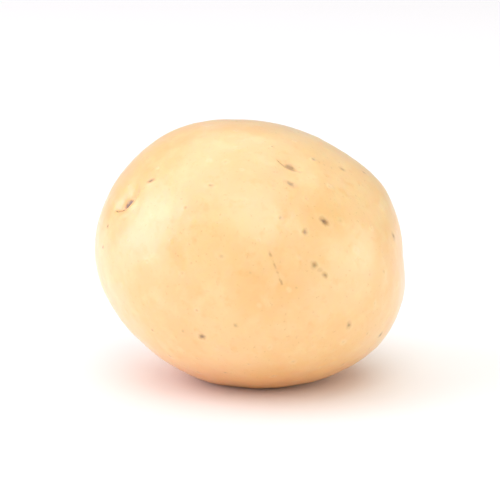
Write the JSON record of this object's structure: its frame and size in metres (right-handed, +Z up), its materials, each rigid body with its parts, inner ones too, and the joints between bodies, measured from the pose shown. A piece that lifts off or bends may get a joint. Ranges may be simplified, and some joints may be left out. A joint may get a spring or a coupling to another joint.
{
  "type": "potato",
  "caption": "Small rounded potato with smooth thin golden skin and shallow eyes, lying on a small flat spot; a fresh vegetable to show, pile or hold.",
  "frame": {"origin": "on the surface that the potato lies on, under the middle of its bounding box", "axes": "+Z up, +X to the right along the potato's length, -Y towards whoever faces its front, where its stem end is; its bud end is at the back"},
  "size_m": [0.0522, 0.0488, 0.0439],
  "materials": {
    "potato_skin": "satin"
  },
  "bodies": {
    "root": {"potato": "potato_skin"}
  },
  "joints": []
}
